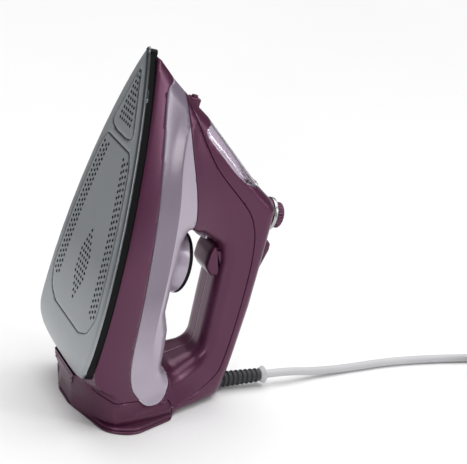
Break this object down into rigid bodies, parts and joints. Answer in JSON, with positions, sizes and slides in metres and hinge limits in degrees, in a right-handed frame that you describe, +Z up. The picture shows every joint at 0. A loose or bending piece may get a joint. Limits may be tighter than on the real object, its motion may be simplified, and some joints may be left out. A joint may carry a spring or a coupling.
{
  "type": "steam iron",
  "caption": "Steam iron standing on its heel, with a hollow body, finger-gap handle, water tank, filler lid, steam knob, dial, trigger and a coiled mains lead.",
  "frame": {"origin": "middle of the standing iron on the floor, without its cord", "axes": "+Z up along the standing iron towards the tip, -X the way the sole faces, +Y the iron's right side"},
  "size_m": [0.5818, 0.1416, 0.2998],
  "materials": {
    "sole_metal": "satin",
    "cast_metal": "cast",
    "steel": "satin",
    "brass": "satin",
    "chrome": "satin",
    "black_plastic": "matte",
    "plum": "satin gloss",
    "plum_dark": "satin gloss",
    "lilac": "satin",
    "clear_lilac": "clear",
    "white_plastic": "matte",
    "rubber": "matte",
    "cord_jacket": "matte",
    "wire": "matte"
  },
  "bodies": {
    "iron": {"soleplate": "sole_metal", "heat_shield": "black_plastic", "heater_casting": "cast_metal", "sole_screws": "steel", "heating_element": "steel", "chamber_seal": "rubber", "steam_chamber_cover": "cast_metal", "thermal_fuse": "steel", "thermostat": "steel", "tank_base": "clear_lilac", "valve_seat": "brass", "shaft_tube": "white_plastic", "water_tank": "lilac", "knob_collar": "chrome", "spray_pump": "white_plastic", "button_spring": "steel", "boost_pump": "white_plastic", "trigger_spring": "steel", "lid_pin": "steel", "filler_funnel": "white_plastic", "spray_nozzle": "plum_dark", "nozzle_tip": "plum_dark", "spray_hose": "white_plastic", "heel_foot": "plum_dark", "heel_screws": "steel", "pilot_lamp": "clear_lilac", "handle_screws": "steel", "terminal_block": "white_plastic", "cord_clamp": "white_plastic", "inner_wires": "wire", "lower_skirt": "plum", "heel_cap": "plum", "handle_left": "plum", "handle_right": "plum", "spine_cover": "plum", "cord_bushing": "rubber", "strain_relief": "rubber", "mains_cord": "cord_jacket", "cord_coil": "cord_jacket", "plug_lead": "cord_jacket", "plug_body": "rubber", "plug_pins": "brass"},
    "dial": {"temperature_dial": "lilac", "dial_rim": "black_plastic", "thermostat_shaft": "steel"},
    "knob": {"steam_knob": "plum", "steam_rod": "steel"},
    "button": {"spray_button": "plum_dark", "spray_piston": "white_plastic"},
    "trigger": {"steam_trigger": "plum_dark", "boost_piston": "white_plastic"},
    "lid": {"filler_lid": "clear_lilac"}
  },
  "joints": [
    {"name": "temperature_dial_turn", "type": "hinge", "parent": "iron", "child": "dial", "pos_m": [-0.00963, 0, 0.12148], "axis": [0.9877, 0, -0.1564], "range_deg": [-135, 135]},
    {"name": "steam_knob_turn", "type": "hinge", "parent": "iron", "child": "knob", "pos_m": [0.07842, 0, 0.16119], "axis": [0.9877, 0, -0.1564], "range_deg": [-60, 60]},
    {"name": "spray_button_press", "type": "slide", "parent": "iron", "child": "button", "axis": [-0.9877, 0, 0.1564], "range_m": [0, 0.003], "stiffness_N_per_m": 600, "springref_m": -0.002, "deforming": ["button_spring"]},
    {"name": "steam_trigger_press", "type": "slide", "parent": "iron", "child": "trigger", "axis": [0.9877, 0, -0.1564], "range_m": [0, 0.0035], "stiffness_N_per_m": 600, "springref_m": -0.002, "deforming": ["trigger_spring"]},
    {"name": "filler_lid_swing", "type": "hinge", "parent": "iron", "child": "lid", "pos_m": [0.00183, 0, 0.24378], "axis": [0, -1, 0], "range_deg": [0, 70]}
  ]
}
